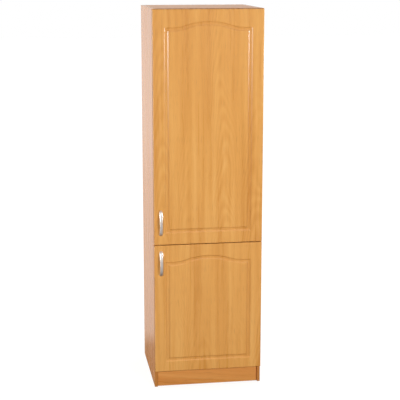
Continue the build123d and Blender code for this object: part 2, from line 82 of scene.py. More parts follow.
# Bow handles; widths and thicknesses are halves
HANDLE_X = -0.262
HANDLE_HALF_SPAN = 0.064
HANDLE_REACH = 0.027
HANDLE_FOOT_WIDTH, HANDLE_WAIST_NARROWING = 0.0105, 0.0027
HANDLE_FOOT_THICKNESS, HANDLE_WAIST_THINNING = 0.0085, 0.0045
HANDLE_HOLE_RADIUS, HANDLE_HOLE_DEPTH = 0.0021, 0.017

# Hinges: cups with screw ears and pin lugs in the doors, arms on plates on the right side
CUP_X = 0.2785
CUP_RADIUS = 0.0175
CUP_DEPTH = 0.0133
CUP_BODY = CUP_RADIUS - 0.00005
FLANGE_RADIUS = 0.0185
FLANGE_THICKNESS = 0.0012
CUP_INSIDE = 0.01665
CUP_FLOOR = -0.0125
EAR_X = 0.269
EAR_REACH = 0.0225
EAR_RADIUS = 0.006
EAR_ROOT = ((-0.0035, 0.0172), (-0.0095, 0.0147), (-0.0155, 0.0086))
PIN_X = 0.2914
LUG_SIZE = (0.0046, 0.0040, 0.0017)
LUG_Y = -0.2676
LUG_OFFSET = 0.00715
PLATE_FACE_X = 0.2815
PLATE_SCREW_Y = -0.217
PLATE_SCREW_OFFSET = 0.016
ARM_FACE_X = 0.277
ARM_SCREWS_Y = (-0.230, -0.202)

# Small fittings
BUMPER_INSET = 0.04
GLIDE_INSET = 0.04
CAM_LEVELS = (0.100, 0.820, 2.084)
CAM_X = 0.25
CAMS_Y = (-0.194, 0.2274)
SCREW_RADIUS = 0.004
SCREW_HEIGHT = 0.0023
SHANK_DEPTH = 0.002
RECESS_LEVEL = SCREW_HEIGHT * 0.72
RECESS_SIZE = (SCREW_RADIUS * 1.05, SCREW_RADIUS * 0.22, SCREW_HEIGHT * 0.62)

# Facets of the round forms
SCREW_FACETS, BUMPER_FACETS, GLIDE_FACETS, COVER_FACETS = 20, 24, 28, 28
CUP_FACETS, EAR_FACETS, BORE_FACETS, HOLE_FACETS = 48, 14, 40, 12
HOLLOW_FACETS, CROWN_FACETS = 12, 40
HANDLE_FACETS, HANDLE_STATIONS = 36, 40
ROUNDING_FACETS, EASING_FACETS = 8, 2

# Outlines of the turned pieces: radius and height along the axis
CUP_OUTLINE = (
    (0, -CUP_DEPTH), (CUP_BODY - 0.001, -CUP_DEPTH), (CUP_BODY, -CUP_DEPTH + 0.001), (CUP_BODY, 0),
    (FLANGE_RADIUS, 0), (FLANGE_RADIUS, 0.0008), (0.0181, FLANGE_THICKNESS),
    (0.0170, FLANGE_THICKNESS), (CUP_INSIDE, 0.0006), (CUP_INSIDE, -0.0110), (0.0152, CUP_FLOOR),
    (0, CUP_FLOOR),
)
SCREW_OUTLINE = (
    (0, -SHANK_DEPTH), (SCREW_RADIUS * 0.5, -SHANK_DEPTH), (SCREW_RADIUS * 0.5, 0),
    (SCREW_RADIUS, 0), (SCREW_RADIUS, SCREW_HEIGHT * 0.35),
    (SCREW_RADIUS * 0.93, SCREW_HEIGHT * 0.62), (SCREW_RADIUS * 0.72, SCREW_HEIGHT * 0.88),
    (SCREW_RADIUS * 0.4, SCREW_HEIGHT), (0, SCREW_HEIGHT),
)
BUMPER_OUTLINE = (
    (0, 0), (0.004, 0), (0.004, 0.0012), (0.0036, 0.0019), (0.0027, 0.0024), (0.0013, 0.0027),
    (0, 0.0027),
)
GLIDE_OUTLINE = (
    (0, 0), (0.0055, 0), (0.0068, 0.0010), (0.007, 0.0020), (0.007, 0.0040), (0.0014, 0.0040),
    (0.0014, 0.0175), (0, 0.018),
)
CAM_COVER_OUTLINE = (
    (0, 0), (0.0088, 0), (0.0088, 0.0003), (0.0082, 0.0008), (0.0070, 0.0010), (0, 0.0011),
)

# Alder decor: scale of its patterns across the grain, twice, and along it
STREAK_SCALE = (40, 40, 1.1)
BROAD_SCALE = (15, 15, 0.6)
WANDER_SCALE = (4, 4, 1.9)
PATCH_SCALE = (5, 5, 0.8)
PORE_SCALE = (520, 520, 16)
SWAY_SCALE = 3.2
SWAY_REACH = (0.02, 0.02, 0.0)
# Cathedral figures: half the width of a column of them, how steeply their flanks rise, how far
# columns and lines wander, and how close the lines are
FIGURE_HALF = 0.085
FIGURE_RISE = 75.0
COLUMN_WANDER, LINE_WANDER = 0.16, 0.55
LINE_SCALE = 2.6
# Colours laid over the grain: their share, and their shade as a part of the dark tone
PORE_SHARE, PORE_SHADE = 0.30, 0.72
WEAR_RADIUS, WEAR_SHARE = 0.0012, 0.35
BAND_SHARE = 0.85
# Tone of the painted shade in the routed line and on the door's edges
PAINTED_GROOVE_SHADE = 0.9
# Depths between which a colour sets in: edge band, painted shade from the routed line
# inwards, and back of the door, where that painted shade ends
BAND_REACH = (CARCASS_FRONT + 0.0009, CARCASS_FRONT + 0.0005)
GROOVE_REACH = (DOOR_FRONT + 0.0002, DOOR_FRONT + 0.0045)
DOOR_BACK_REACH = (DOOR_BACK - 0.001, DOOR_BACK - 0.003)
LACQUER_IOR = 1.48

# Other finishes
DRAWN_LINE_SCALE = (900, 900, 30)
TARNISH_SCALE = (60, 60, 60)
SKIN_SCALE = (1400, 1400, 1400)
CLOUD_SCALE = (40, 40, 40)
PRINT_SCALE = (80, 80, 1.6)
FIBRE_SCALE = (260, 260, 260)
BLOTCH_SCALE = (9, 9, 9)
PRINTED_ALDER = ((206, 150, 88), (216, 163, 101), (226, 176, 116))
RAW_FIBRE = ((126, 88, 56), (146, 105, 69), (163, 121, 83))


# Finishes


def tone(swatch):
    """Colour from a swatch of 0 to 255."""
    shares = [value / 255 for value in swatch]
    return [v / 12.92 if v < 0.04045 else ((v + 0.055) / 1.055) ** 2.4 for v in shares] + [1.0]


def scaled(swatch, factor):
    """Swatch made darker or brighter, up to white."""
    return [min(255, value * factor) for value in swatch]


def new_finish(name):
    material = bpy.data.materials.new(name)
    material.use_nodes = True
    return material, material.node_tree, material.node_tree.nodes["Principled BSDF"]


def put(tree, kind, inputs=None, **settings):
    """Adds a node; an input is either a plain value or another node's output."""
    node = tree.nodes.new(kind)
    for key, value in settings.items():
        setattr(node, key, value)
    for key, value in (inputs or {}).items():
        if isinstance(value, bpy.types.NodeSocket):
            tree.links.new(value, node.inputs[key])
        else:
            node.inputs[key].default_value = value
    return node


def object_place(tree):
    return put(tree, "ShaderNodeTexCoord").outputs["Object"]


def apart(tree, vector):
    """Outputs X, Y and Z of a vector."""
    return put(tree, "ShaderNodeSeparateXYZ", {"Vector": vector}).outputs


def maths(tree, operation, *values):
    return put(tree, "ShaderNodeMath", dict(enumerate(values)), operation=operation).outputs[0]


def sums(tree, *weighted):
    """Weighted sum of several values."""
    total = None
    for value, weight in weighted:
        if total is None:
            total = maths(tree, "MULTIPLY", value, weight)
        else:
            total = maths(tree, "MULTIPLY_ADD", value, weight, total)
    return total


def spread(tree, value, reach, onto):
    """Carries a value over from one range to another and holds it at the ends."""
    node = put(tree, "ShaderNodeMapRange", {"Value": value, "From Min": reach[0],
                                           "From Max": reach[1], "To Min": onto[0],
                                           "To Max": onto[1]})
    return node.outputs["Result"]


def ramp(tree, value, positions, swatches):
    """Colour ramp with a swatch at each position."""
    node = put(tree, "ShaderNodeValToRGB", {"Fac": value})
    while len(node.color_ramp.elements) < len(positions):
        node.color_ramp.elements.new(0.5)
    for element, position, swatch in zip(node.color_ramp.elements, positions, swatches):
        element.position = position
        element.color = tone(swatch)
    return node.outputs["Color"]


def laid_over(tree, share, under, over):
    """Colour laid over another one by a share from 0 to 1."""
    node = put(tree, "ShaderNodeMix", {"Factor": share, "A": under, "B": over}, data_type="RGBA")
    return node.outputs["Result"]


def grain_noise(tree, vector, scale, detail, roughness):
    mapped = put(tree, "ShaderNodeMapping", {"Vector": vector, "Scale": scale})
    noise = put(tree, "ShaderNodeTexNoise", {"Vector": mapped.outputs[0], "Scale": 1.0,
                                            "Detail": detail, "Roughness": roughness})
    return noise.outputs["Fac"]


def worn_edge(tree, radius):
    """Rounded normal, and a value that is 1 along sharp edges and 0 on the flats."""
    rounded = put(tree, "ShaderNodeBevel", {"Radius": radius}, samples=4).outputs[0]
    plain = put(tree, "ShaderNodeNewGeometry").outputs["Normal"]
    match = put(tree, "ShaderNodeVectorMath", {0: rounded, 1: plain}, operation="DOT_PRODUCT")
    return rounded, spread(tree, match.outputs["Value"], reach=(0.99, 0.80), onto=(0.0, 1.0))


def surface(tree, shader, colour, roughness, bump):
    """Joins colour, roughness and a bump, given by its inputs, to the shader."""
    relief = put(tree, "ShaderNodeBump", bump)
    tree.links.new(colour, shader.inputs["Base Color"])
    tree.links.new(roughness, shader.inputs["Roughness"])
    tree.links.new(relief.outputs[0], shader.inputs["Normal"])


def cathedrals(tree, board, figure):
    """Arched growth lines in columns along the grain, shown in patches and faded between them."""
    axes = apart(tree, board)
    wander = grain_noise(tree, board, WANDER_SCALE, detail=2, roughness=0.5)
    across = sums(tree, (axes["X"], 1.0), (wander, COLUMN_WANDER))
    bowed = maths(tree, "POWER", maths(tree, "PINGPONG", across, FIGURE_HALF), 2.0)
    rise = sums(tree, (axes["Z"], 1.0), (bowed, FIGURE_RISE), (wander, LINE_WANDER))
    line = put(tree, "ShaderNodeCombineXYZ", {"X": rise})
    wave = put(tree, "ShaderNodeTexWave", {"Vector": line.outputs[0], "Scale": LINE_SCALE,
                                          "Distortion": 2.0, "Detail": 2.0, "Detail Scale": 2.0},
               wave_profile="SIN")
    patches = grain_noise(tree, board, PATCH_SCALE, detail=1, roughness=0.5)
    shown = spread(tree, patches, reach=(0.48, 0.66), onto=(0.0, figure))
    return maths(tree, "MULTIPLY", maths(tree, "SUBTRACT", wave.outputs["Fac"], 0.5), shown)


def alder(name, pale, middle, dark, lie=(0, 0, 0), shift=(0, 0, 0), gloss=0.30, figure=0.10,
          band=None, painted_shade=0.0, relief=0.07):
    """Honey alder decor: fine streaks, soft cathedral figures, short pores and a satin lacquer.

    lie and shift turn and move the grain. figure is the strength of the cathedrals, band the
    colour of the front edge, painted_shade the share of painted shade in the routed line and
    on the door's edges, and relief the strength of the bump.
    """
    material, tree, shader = new_finish(name)
    place = object_place(tree)
    board = put(tree, "ShaderNodeMapping", {"Vector": place, "Rotation": lie,
                                           "Location": shift}).outputs[0]
    sway = put(tree, "ShaderNodeTexNoise", {"Vector": board, "Scale": SWAY_SCALE, "Detail": 2.0,
                                           "Roughness": 0.5})
    waved = put(tree, "ShaderNodeVectorMath", {0: sway.outputs["Color"], 1: SWAY_REACH, 2: board},
                operation="MULTIPLY_ADD").outputs[0]
    streaks = grain_noise(tree, waved, STREAK_SCALE, detail=4, roughness=0.5)
    broad = grain_noise(tree, waved, BROAD_SCALE, detail=3, roughness=0.5)
    figures = cathedrals(tree, board, figure)
    mixed = sums(tree, (streaks, 0.56), (broad, 0.44), (figures, 1.0))
    colour = ramp(tree, mixed, (0.32, 0.50, 0.68), (dark, middle, pale))
    dots = grain_noise(tree, board, PORE_SCALE, detail=1, roughness=0.4)
    pores = spread(tree, dots, reach=(0.60, 0.72), onto=(0.0, PORE_SHARE))
    colour = laid_over(tree, pores, colour, tone(scaled(dark, PORE_SHADE)))
    rounded, edge = worn_edge(tree, WEAR_RADIUS)
    colour = laid_over(tree, sums(tree, (edge, WEAR_SHARE)), colour, tone(pale))
    if band:
        depth = apart(tree, place)["Y"]
        banded = spread(tree, depth, BAND_REACH, onto=(0.0, BAND_SHARE))
        colour = laid_over(tree, banded, colour, tone(band))
    # Painted shade: the routed line and the door's edges are darkened between these depths
    if painted_shade:
        depth = apart(tree, place)["Y"]
        inwards = spread(tree, depth, GROOVE_REACH, onto=(0.0, painted_shade))
        outwards = spread(tree, depth, DOOR_BACK_REACH, onto=(0.0, painted_shade))
        shaded = maths(tree, "MINIMUM", inwards, outwards)
        colour = laid_over(tree, shaded, colour, tone(scaled(dark, PAINTED_GROOVE_SHADE)))
    roughness = spread(tree, streaks, reach=(0.3, 0.7), onto=(gloss - 0.05, gloss + 0.06))
    height = sums(tree, (streaks, 0.7), (pores, -0.8))
    surface(tree, shader, colour, roughness,
            {"Strength": relief, "Distance": 0.0004, "Height": height, "Normal": rounded})
    shader.inputs["IOR"].default_value = LACQUER_IOR
    return material


def metal(name, swatch, gloss, wear=0.10, relief=0.06):
    """Plated metal with fine drawn lines and soft tarnish."""
    material, tree, shader = new_finish(name)
    place = object_place(tree)
    lines = grain_noise(tree, place, DRAWN_LINE_SCALE, detail=3, roughness=0.6)
    cloud = grain_noise(tree, place, TARNISH_SCALE, detail=3, roughness=0.55)
    mixed = sums(tree, (lines, 0.4), (cloud, 0.6))
    colour = ramp(tree, mixed, (0.35, 0.65), (scaled(swatch, 1 - wear), scaled(swatch, 1 + wear)))
    roughness = spread(tree, mixed, reach=(0.3, 0.7), onto=(gloss - 0.05, gloss + 0.08))
    surface(tree, shader, colour, roughness,
            {"Strength": relief, "Distance": 0.0002, "Height": lines})
    shader.inputs["Metallic"].default_value = 1.0
    return material


def moulded(name, swatch, gloss, speckle=0.06):
    """Moulded plastic or rubber with a fine skin."""
    material, tree, shader = new_finish(name)
    place = object_place(tree)
    skin = grain_noise(tree, place, SKIN_SCALE, detail=2, roughness=0.5)
    cloud = grain_noise(tree, place, CLOUD_SCALE, detail=3, roughness=0.5)
    mixed = sums(tree, (skin, 0.4), (cloud, 0.6))
    colour = ramp(tree, mixed, (0.35, 0.65),
                  (scaled(swatch, 1 - speckle), scaled(swatch, 1 + speckle)))
    roughness = spread(tree, cloud, reach=(0.3, 0.7), onto=(gloss - 0.05, gloss + 0.05))
    surface(tree, shader, colour, roughness,
            {"Strength": 0.10, "Distance": 0.0002, "Height": skin})
    return material


def hardboard(name):
    """Thin back board: alder print towards the inside, raw brown fibre behind."""
    material, tree, shader = new_finish(name)
    place = object_place(tree)
    streaks = grain_noise(tree, place, PRINT_SCALE, detail=4, roughness=0.6)
    fibre = grain_noise(tree, place, FIBRE_SCALE, detail=4, roughness=0.7)
    blotch = grain_noise(tree, place, BLOTCH_SCALE, detail=3, roughness=0.5)
    behind = spread(tree, apart(tree, place)["Y"], BACK_BOARD_MIDDLE, onto=(0.0, 1.0))
    printed = ramp(tree, streaks, (0.34, 0.5, 0.66), PRINTED_ALDER)
    mixed = sums(tree, (fibre, 0.6), (blotch, 0.4))
    raw = ramp(tree, mixed, (0.34, 0.5, 0.66), RAW_FIBRE)
    roughness = spread(tree, behind, reach=(0.0, 1.0), onto=(0.42, 0.75))
    surface(tree, shader, laid_over(tree, behind, printed, raw), roughness,
            {"Strength": 0.15, "Distance": 0.0003, "Height": fibre})
    return material


SIDEWAYS = (0, 0, math.pi / 2)
LYING = (0, math.pi / 2, 0)
NEARLY_LYING = (0, math.radians(84), 0)
EDGE_BAND = (182, 116, 50)
# Edge band of the top panel, darker than the others as painted shade of the narrow reveal above the
# doors
TOP_BAND_PAINTED_SHADE = (132, 80, 34)
# Share of painted shade in the doors' routed lines and along their edges
DOOR_PAINTED_SHADE = 0.22
CALM_RELIEF = 0.015
HONEY = ((229, 171, 95), (219, 156, 79), (204, 138, 61))
door_alder = alder("door_alder", *HONEY, painted_shade=DOOR_PAINTED_SHADE)
lower_door_alder = alder("lower_door_alder", *HONEY, shift=(0.31, 0.2, 0.47), painted_shade=DOOR_PAINTED_SHADE)
side_alder = alder("side_alder", (226, 157, 94), (220, 150, 86), (213, 141, 77),
                   lie=SIDEWAYS, shift=(0.1, 0.4, 0.2), gloss=0.25, band=EDGE_BAND)
top_alder = alder("top_alder", (227, 163, 102), (220, 153, 92), (210, 141, 80),
                  lie=LYING, shift=(0.3, 0.2, 0.1), gloss=0.38, band=TOP_BAND_PAINTED_SHADE)
shelf_alder = alder("shelf_alder", *HONEY, lie=LYING, shift=(0.2, 0.1, 0.6), band=EDGE_BAND,
                    relief=CALM_RELIEF)
plinth_alder = alder("plinth_alder", (222, 156, 84), (214, 144, 73), (202, 129, 60),
                     lie=NEARLY_LYING, shift=(0.5, 0.3, 0.1), figure=0.16)
back_hardboard = hardboard("back_hardboard")
dowel_beech = alder("dowel_beech", (222, 186, 138), (212, 173, 123), (198, 157, 106), lie=LYING,
                    gloss=0.55)
zinc_steel = metal("zinc_steel", (168, 168, 170), 0.30)
satin_nickel = metal("satin_nickel", (214, 204, 196), 0.36, wear=0.04, relief=0.015)
strip_white = moulded("strip_white", (225, 222, 214), 0.45)
glide_brown = moulded("glide_brown", (92, 66, 44), 0.5)
bumper_clear = moulded("bumper_clear", (206, 204, 198), 0.3)
# Near-black bars in the screw heads: painted shade standing for the hollow cross recesses
recess_painted_shade = moulded("recess_painted_shade", (46, 46, 48), 0.5)

FINISHED_NODES = (
    (door_alder, ("upper_door",)),
    (lower_door_alder, ("lower_door",)),
    (side_alder, ("side_panel_left", "side_panel_right")),
    (top_alder, ("top_panel",)),
    (shelf_alder, ("bottom_panel", "fixed_shelf", "lower_shelf", "upper_shelf_1", "upper_shelf_2",
                   "upper_shelf_3", "wall_rail")),
    (plinth_alder, ("plinth",)),
    (back_hardboard, ("back_panel_lower", "back_panel_upper")),
    (dowel_beech, ("dowels",)),
    (zinc_steel, ("shelf_pins", "cam_drums", "cam_bolts", "hinge_plates", "hinge_plate_screws",
                  "hinge_arms", "hinge_arm_screws", "upper_hinge_cups", "lower_hinge_cups",
                  "upper_cup_screws", "lower_cup_screws", "upper_hinge_pins", "lower_hinge_pins",
                  "upper_handle_screws", "lower_handle_screws")),
    (satin_nickel, ("upper_handle", "lower_handle")),
    (strip_white, ("back_strip",)),
    (glide_brown, ("base_glides",)),
    (bumper_clear, ("upper_door_bumpers", "lower_door_bumpers")),
)
for finish, nodes in FINISHED_NODES:
    for node in nodes:
        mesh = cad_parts[node].data
        mesh.materials.clear()
        mesh.materials.append(finish)


# Making the pieces


def corners_of(geometry):
    return [g for g in geometry if isinstance(g, bmesh.types.BMVert)]


def edges_of(geometry):
    return [g for g in geometry if isinstance(g, bmesh.types.BMEdge)]


def mitred(edge):
    """True for the edges where two straight runs of a routed line meet."""
    step = edge.verts[1].co - edge.verts[0].co
    near = 1e-5
    slanted = abs(step.x) > near and abs(abs(step.x) - abs(step.z)) < near
    return slanted and abs(edge.verts[0].co.x) < MITRE_REACH


def keep(bm, name, materials, body, node=None, sharp=35, mitres=False):
    """Closes a mesh, shades it smooth up to an angle in degrees, and hangs it on its body."""
    bmesh.ops.remove_doubles(bm, verts=bm.verts, dist=1e-6)
    bmesh.ops.recalc_face_normals(bm, faces=bm.faces)
    for face in bm.faces:
        face.smooth = True
    for edge in bm.edges:
        flat = edge.calc_face_angle(0.0) < math.radians(sharp)
        edge.smooth = flat and not (mitres and mitred(edge))
    mesh = bpy.data.meshes.new(name)
    bm.to_mesh(mesh)
    bm.free()
    for material in materials:
        mesh.materials.append(material)
    piece = bpy.data.objects.new(name, mesh)
    bpy.context.scene.collection.objects.link(piece)
    weighted = piece.modifiers.new("even_shading", "WEIGHTED_NORMAL")
    weighted.keep_sharp = True
    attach(piece, body)
    if node:
        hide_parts(node)
    return piece


def arc_from(bm, start, centre, angle, steps):
    """Sweeps a vertex round a centre in the door's plane; gives the edges and the last vertex."""
    known = set(bm.edges)
    last = bmesh.ops.spin(bm, geom=[start], cent=centre, axis=BACKWARDS, angle=angle, steps=steps,
                          use_duplicate=False)["geom_last"]
    return [e for e in bm.edges if e not in known], corners_of(last)[0]


def turned(bm, outline, axis_point, axis, steps):
    """Lathe-turned form: outline points (radius, height) along the axis from the axis point."""
    axis = Vector(axis).normalized()
    side = axis.orthogonal().normalized()
    start = Vector(axis_point)
    verts = [bm.verts.new(start + side * radius + axis * height) for radius, height in outline]
    edges = [bm.edges.new(pair) for pair in zip(verts, verts[1:])]
    bmesh.ops.spin(bm, geom=verts + edges, cent=start, axis=axis, angle=2 * math.pi, steps=steps,
                   use_merge=True, use_duplicate=False)


def pan_screw(bm, place, outward, turn):
    """Pan head with a cross recess shown by two dark bars; material 1 is painted shade in the
    recess.
    """
    outward = Vector(outward)
    turned(bm, SCREW_OUTLINE, place, outward, SCREW_FACETS)
    across = outward.orthogonal().normalized()
    other = outward.cross(across)
    turning = Matrix.Rotation(turn, 3, outward)
    for one, two in ((across, other), (other, across)):
        bar_place = Matrix((turning @ one, turning @ two, outward)).transposed().to_4x4()
        bar_place.translation = Vector(place) + outward * RECESS_LEVEL
        bar = bmesh.ops.create_cube(bm, size=1.0)["verts"]
        bmesh.ops.scale(bm, vec=RECESS_SIZE, verts=bar)
        bmesh.ops.transform(bm, matrix=bar_place, verts=bar)
        # The bars carry the painted shade of the recess
        for face in {f for v in bar for f in v.link_faces}:
            face.material_index = 1


def screw_set(name, places, outward, body, node):
    """Screws that are one piece, from (place, turn of the recess) pairs."""
    bm = bmesh.new()
    for place, turn in places:
        pan_screw(bm, place, outward, turn)
    return keep(bm, name, [zinc_steel, recess_painted_shade], body, node)


def turned_set(name, outline, places, axis, steps, finish, body, node=None):
    """The same turned form at several places, as one piece."""
    bm = bmesh.new()
    for place in places:
        turned(bm, outline, place, axis, steps)
    return keep(bm, name, [finish], body, node)


def arched_edges(bm, y, base, shoulder):
    """Outer routed line of a door: straight sides, flat shoulders, a low arch between hollows."""
    half = DOOR_HALF - LINE_INSET
    run = half - SHOULDER_WIDTH
    bend = 2 * math.atan(ARCH_RISE / run)
    crown = run / math.sin(bend) - HOLLOW_RADIUS
    hollow_centre = shoulder + HOLLOW_RADIUS
    crown_centre = hollow_centre - (HOLLOW_RADIUS + crown) * math.cos(bend)
    first = tip = bm.verts.new((-run, y, shoulder))
    edges = []
    for centre, angle, steps in (((-run, y, hollow_centre), -bend, HOLLOW_FACETS),
                                 ((0, y, crown_centre), 2 * bend, CROWN_FACETS),
                                 ((run, y, hollow_centre), -bend, HOLLOW_FACETS)):
        arc, tip = arc_from(bm, tip, centre, angle, steps)
        edges += arc
    corners = [bm.verts.new((x, y, z)) for x, z in ((half, shoulder), (half, base), (-half, base),
                                                   (-half, shoulder))]
    chain = [tip] + corners + [first]
    edges += [bm.edges.new(pair) for pair in zip(chain, chain[1:])]
    return edges


def routed_front(bm, sizes):
    """Frame around the routed line, then the line cut in step by step."""
    front = min(bm.faces, key=lambda f: f.calc_center_median().y)
    border = list(front.edges)
    bmesh.ops.delete(bm, geom=[front], context="FACES_ONLY")
    line = arched_edges(bm, DOOR_FRONT, sizes["base"], sizes["shoulder"])
    bmesh.ops.triangle_fill(bm, edges=border + line, use_beauty=True, normal=FORWARDS)
    field = bmesh.ops.contextual_create(bm, geom=line)["faces"][0]
    if field.normal.y > 0:
        field.normal_flip()
    run = depth = 0.0
    for next_run, next_depth in ROUTED_STEPS:
        bmesh.ops.inset_region(bm, faces=[field], thickness=(next_run - run) / 1000,
                               depth=(depth - next_depth) / 1000, use_even_offset=True,
                               use_boundary=True)
        run, depth = next_run, next_depth


def bored_back(bm, sizes):
    """Cup bores and handle holes in the back face."""
    back = max(bm.faces, key=lambda f: f.calc_center_median().y)
    border = list(back.edges)
    bmesh.ops.delete(bm, geom=[back], context="FACES_ONLY")
    bores = [(CUP_X, row, CUP_RADIUS, CUP_DEPTH, BORE_FACETS) for row in sizes["hinges"]]
    bores += [(HANDLE_X, sizes["handle"] + way * HANDLE_HALF_SPAN, HANDLE_HOLE_RADIUS,
               HANDLE_HOLE_DEPTH, HOLE_FACETS) for way in (-1, 1)]
    rims = []
    for x, z, radius, bore_depth, facets in bores:
        upright = Matrix.Translation((x, DOOR_BACK, z)) @ Matrix.Rotation(math.pi / 2, 4, "X")
        ring = bmesh.ops.create_circle(bm, segments=facets, radius=radius,
                                       matrix=upright)["verts"]
        rims.append((list({e for v in ring for e in v.link_edges}), bore_depth))
    bmesh.ops.triangle_fill(bm, edges=border + [e for rim, _ in rims for e in rim],
                            use_beauty=True, normal=BACKWARDS)
    for rim, bore_depth in rims:
        made = bmesh.ops.extrude_edge_only(bm, edges=rim)["geom"]
        bmesh.ops.translate(bm, vec=(0, -bore_depth, 0), verts=corners_of(made))
        bmesh.ops.contextual_create(bm, geom=edges_of(made))


def door(name, sizes, finish):
    """Door with rounded front edges, the routed arched line and the bores behind."""
    bm = bmesh.new()
    bmesh.ops.create_cube(bm, size=1.0)
    bmesh.ops.scale(bm, verts=bm.verts, vec=(2 * DOOR_HALF, DOOR_BACK - DOOR_FRONT,
                                             sizes["top"] - sizes["bottom"]))
    bmesh.ops.translate(bm, verts=bm.verts, vec=(0, (DOOR_FRONT + DOOR_BACK) / 2,
                                                 (sizes["bottom"] + sizes["top"]) / 2))
    bm.normal_update()
    for towards, offset, segments in ((-1, DOOR_ROUNDING, ROUNDING_FACETS),
                                      (1, DOOR_BACK_EASING, EASING_FACETS)):
        face = max(bm.faces, key=lambda f: towards * f.calc_center_median().y)
        bmesh.ops.bevel(bm, geom=list(face.edges), offset=offset, offset_type="OFFSET",
                        segments=segments, profile=0.5, affect="EDGES", material=-1)
    routed_front(bm, sizes)
    bored_back(bm, sizes)
    return keep(bm, f"{name}_routed_door", [finish], f"{name}_leaf", f"{name}_door",
                sharp=40, mitres=True)


def bow_handle(name, sizes):
    """Bow handle: an oval ring carried along a half-ellipse, wide feet and a slim waist."""
    bm = bmesh.new()
    sideways = Vector((1, 0, 0))
    ring = bmesh.ops.create_circle(bm, segments=HANDLE_FACETS, radius=1.0)["verts"]
    edges = list({e for v in ring for e in v.link_edges})
    placed = Matrix.Identity(4)
    for station in range(HANDLE_STATIONS + 1):
        angle = math.pi * station / HANDLE_STATIONS
        slim = math.sin(angle)
        if station:
            made = bmesh.ops.extrude_edge_only(bm, edges=edges)["geom"]
            ring, edges = corners_of(made), edges_of(made)
        heading = Vector((0, -HANDLE_REACH * math.cos(angle), HANDLE_HALF_SPAN * slim)).normalized()
        across = sideways * (HANDLE_FOOT_WIDTH - HANDLE_WAIST_NARROWING * slim)
        thinning = HANDLE_WAIST_THINNING * math.sqrt(max(slim, 0.0))
        thick = heading.cross(sideways) * (HANDLE_FOOT_THICKNESS - thinning)
        here = Matrix((across, thick, heading)).transposed().to_4x4()
        here.translation = Vector((HANDLE_X, DOOR_FRONT - HANDLE_REACH * slim,
                                   sizes["handle"] - HANDLE_HALF_SPAN * math.cos(angle)))
        bmesh.ops.transform(bm, matrix=here @ placed.inverted(), verts=ring)
        placed = here
    bmesh.ops.holes_fill(bm, edges=bm.edges, sides=0)
    return keep(bm, f"{name}_bow", [satin_nickel], f"{name}_leaf",
                f"{name}_handle", sharp=50)


def screw_ear(bm, row, way):
    """Flat ear beside a cup, round at its end."""
    chain = [bm.verts.new((CUP_X + dx, DOOR_BACK, row + way * dz)) for dx, dz in EAR_ROOT]
    tip = bm.verts.new((EAR_X - EAR_RADIUS, DOOR_BACK, row + way * EAR_REACH))
    edges = [bm.edges.new(pair) for pair in zip(chain, chain[1:] + [tip])]
    centre = (EAR_X, DOOR_BACK, row + way * EAR_REACH)
    arc, end = arc_from(bm, tip, centre, way * math.pi, EAR_FACETS)
    edges += arc
    edges.append(bm.edges.new((end, chain[0])))
    plate = bmesh.ops.contextual_create(bm, geom=edges)["faces"]
    lifted = bmesh.ops.extrude_face_region(bm, geom=plate)["geom"]
    bmesh.ops.translate(bm, vec=(0, FLANGE_THICKNESS, 0), verts=corners_of(lifted))


def hinge_cups(name, sizes):
    """Pressed round cups with two screw ears and the lugs for the pin."""
    bm = bmesh.new()
    for row in sizes["hinges"]:
        turned(bm, CUP_OUTLINE, (CUP_X, DOOR_BACK, row), BACKWARDS, CUP_FACETS)
        for way in (-1, 1):
            screw_ear(bm, row, way)
            lug = bmesh.ops.create_cube(bm, size=1.0)["verts"]
            bmesh.ops.scale(bm, vec=LUG_SIZE, verts=lug)
            bmesh.ops.translate(bm, vec=(PIN_X, LUG_Y, row + way * LUG_OFFSET), verts=lug)
    return keep(bm, f"{name}_round_cups", [zinc_steel], f"{name}_leaf",
                f"{name}_hinge_cups")


for level, finish in (("upper", door_alder), ("lower", lower_door_alder)):
    sizes = DOORS[level]
    leaf = f"{level}_leaf"
    door(level, sizes, finish)
    bow_handle(level, sizes)
    hinge_cups(level, sizes)
    screw_set(f"{level}_cup_pan_screws",
              [((EAR_X, DOOR_BACK + FLANGE_THICKNESS, row + way * EAR_REACH), row * 9)
               for row in sizes["hinges"] for way in (-1, 1)],
              BACKWARDS, leaf, f"{level}_cup_screws")
    screw_set(f"{level}_handle_pan_screws",
              [((HANDLE_X, DOOR_BACK, sizes["handle"] + way * HANDLE_HALF_SPAN), way * 0.6)
               for way in (-1, 1)],
              BACKWARDS, leaf, f"{level}_handle_screws")
    turned_set(f"{level}_soft_bumpers", BUMPER_OUTLINE,
               [(-SIDE_MIDDLE, DOOR_BACK, row)
                for row in (sizes["bottom"] + BUMPER_INSET, sizes["top"] - BUMPER_INSET)],
               BACKWARDS, BUMPER_FACETS, bumper_clear, leaf,
               f"{level}_door_bumpers")

screw_set("plate_pan_screws",
          [((PLATE_FACE_X, PLATE_SCREW_Y, row + way * PLATE_SCREW_OFFSET), row * 7 + way)
           for row in HINGE_LEVELS for way in (-1, 1)],
          LEFTWARDS, "carcass", "hinge_plate_screws")
screw_set("arm_pan_screws",
          [((ARM_FACE_X, y, row), row * 5 + y * 20) for row in HINGE_LEVELS for y in ARM_SCREWS_Y],
          LEFTWARDS, "carcass", "hinge_arm_screws")
turned_set("round_glides", GLIDE_OUTLINE,
           [(x, y, 0) for x in (-SIDE_MIDDLE, SIDE_MIDDLE)
            for y in (CARCASS_FRONT + GLIDE_INSET, CARCASS_BACK - GLIDE_INSET)],
           UPWARDS, GLIDE_FACETS, glide_brown, "carcass", "base_glides")
turned_set("cam_covers", CAM_COVER_OUTLINE,
           [(x, y, under) for under in CAM_LEVELS for x in (-CAM_X, CAM_X) for y in CAMS_Y],
           DOWNWARDS, COVER_FACETS, glide_brown, "carcass")


# Studio

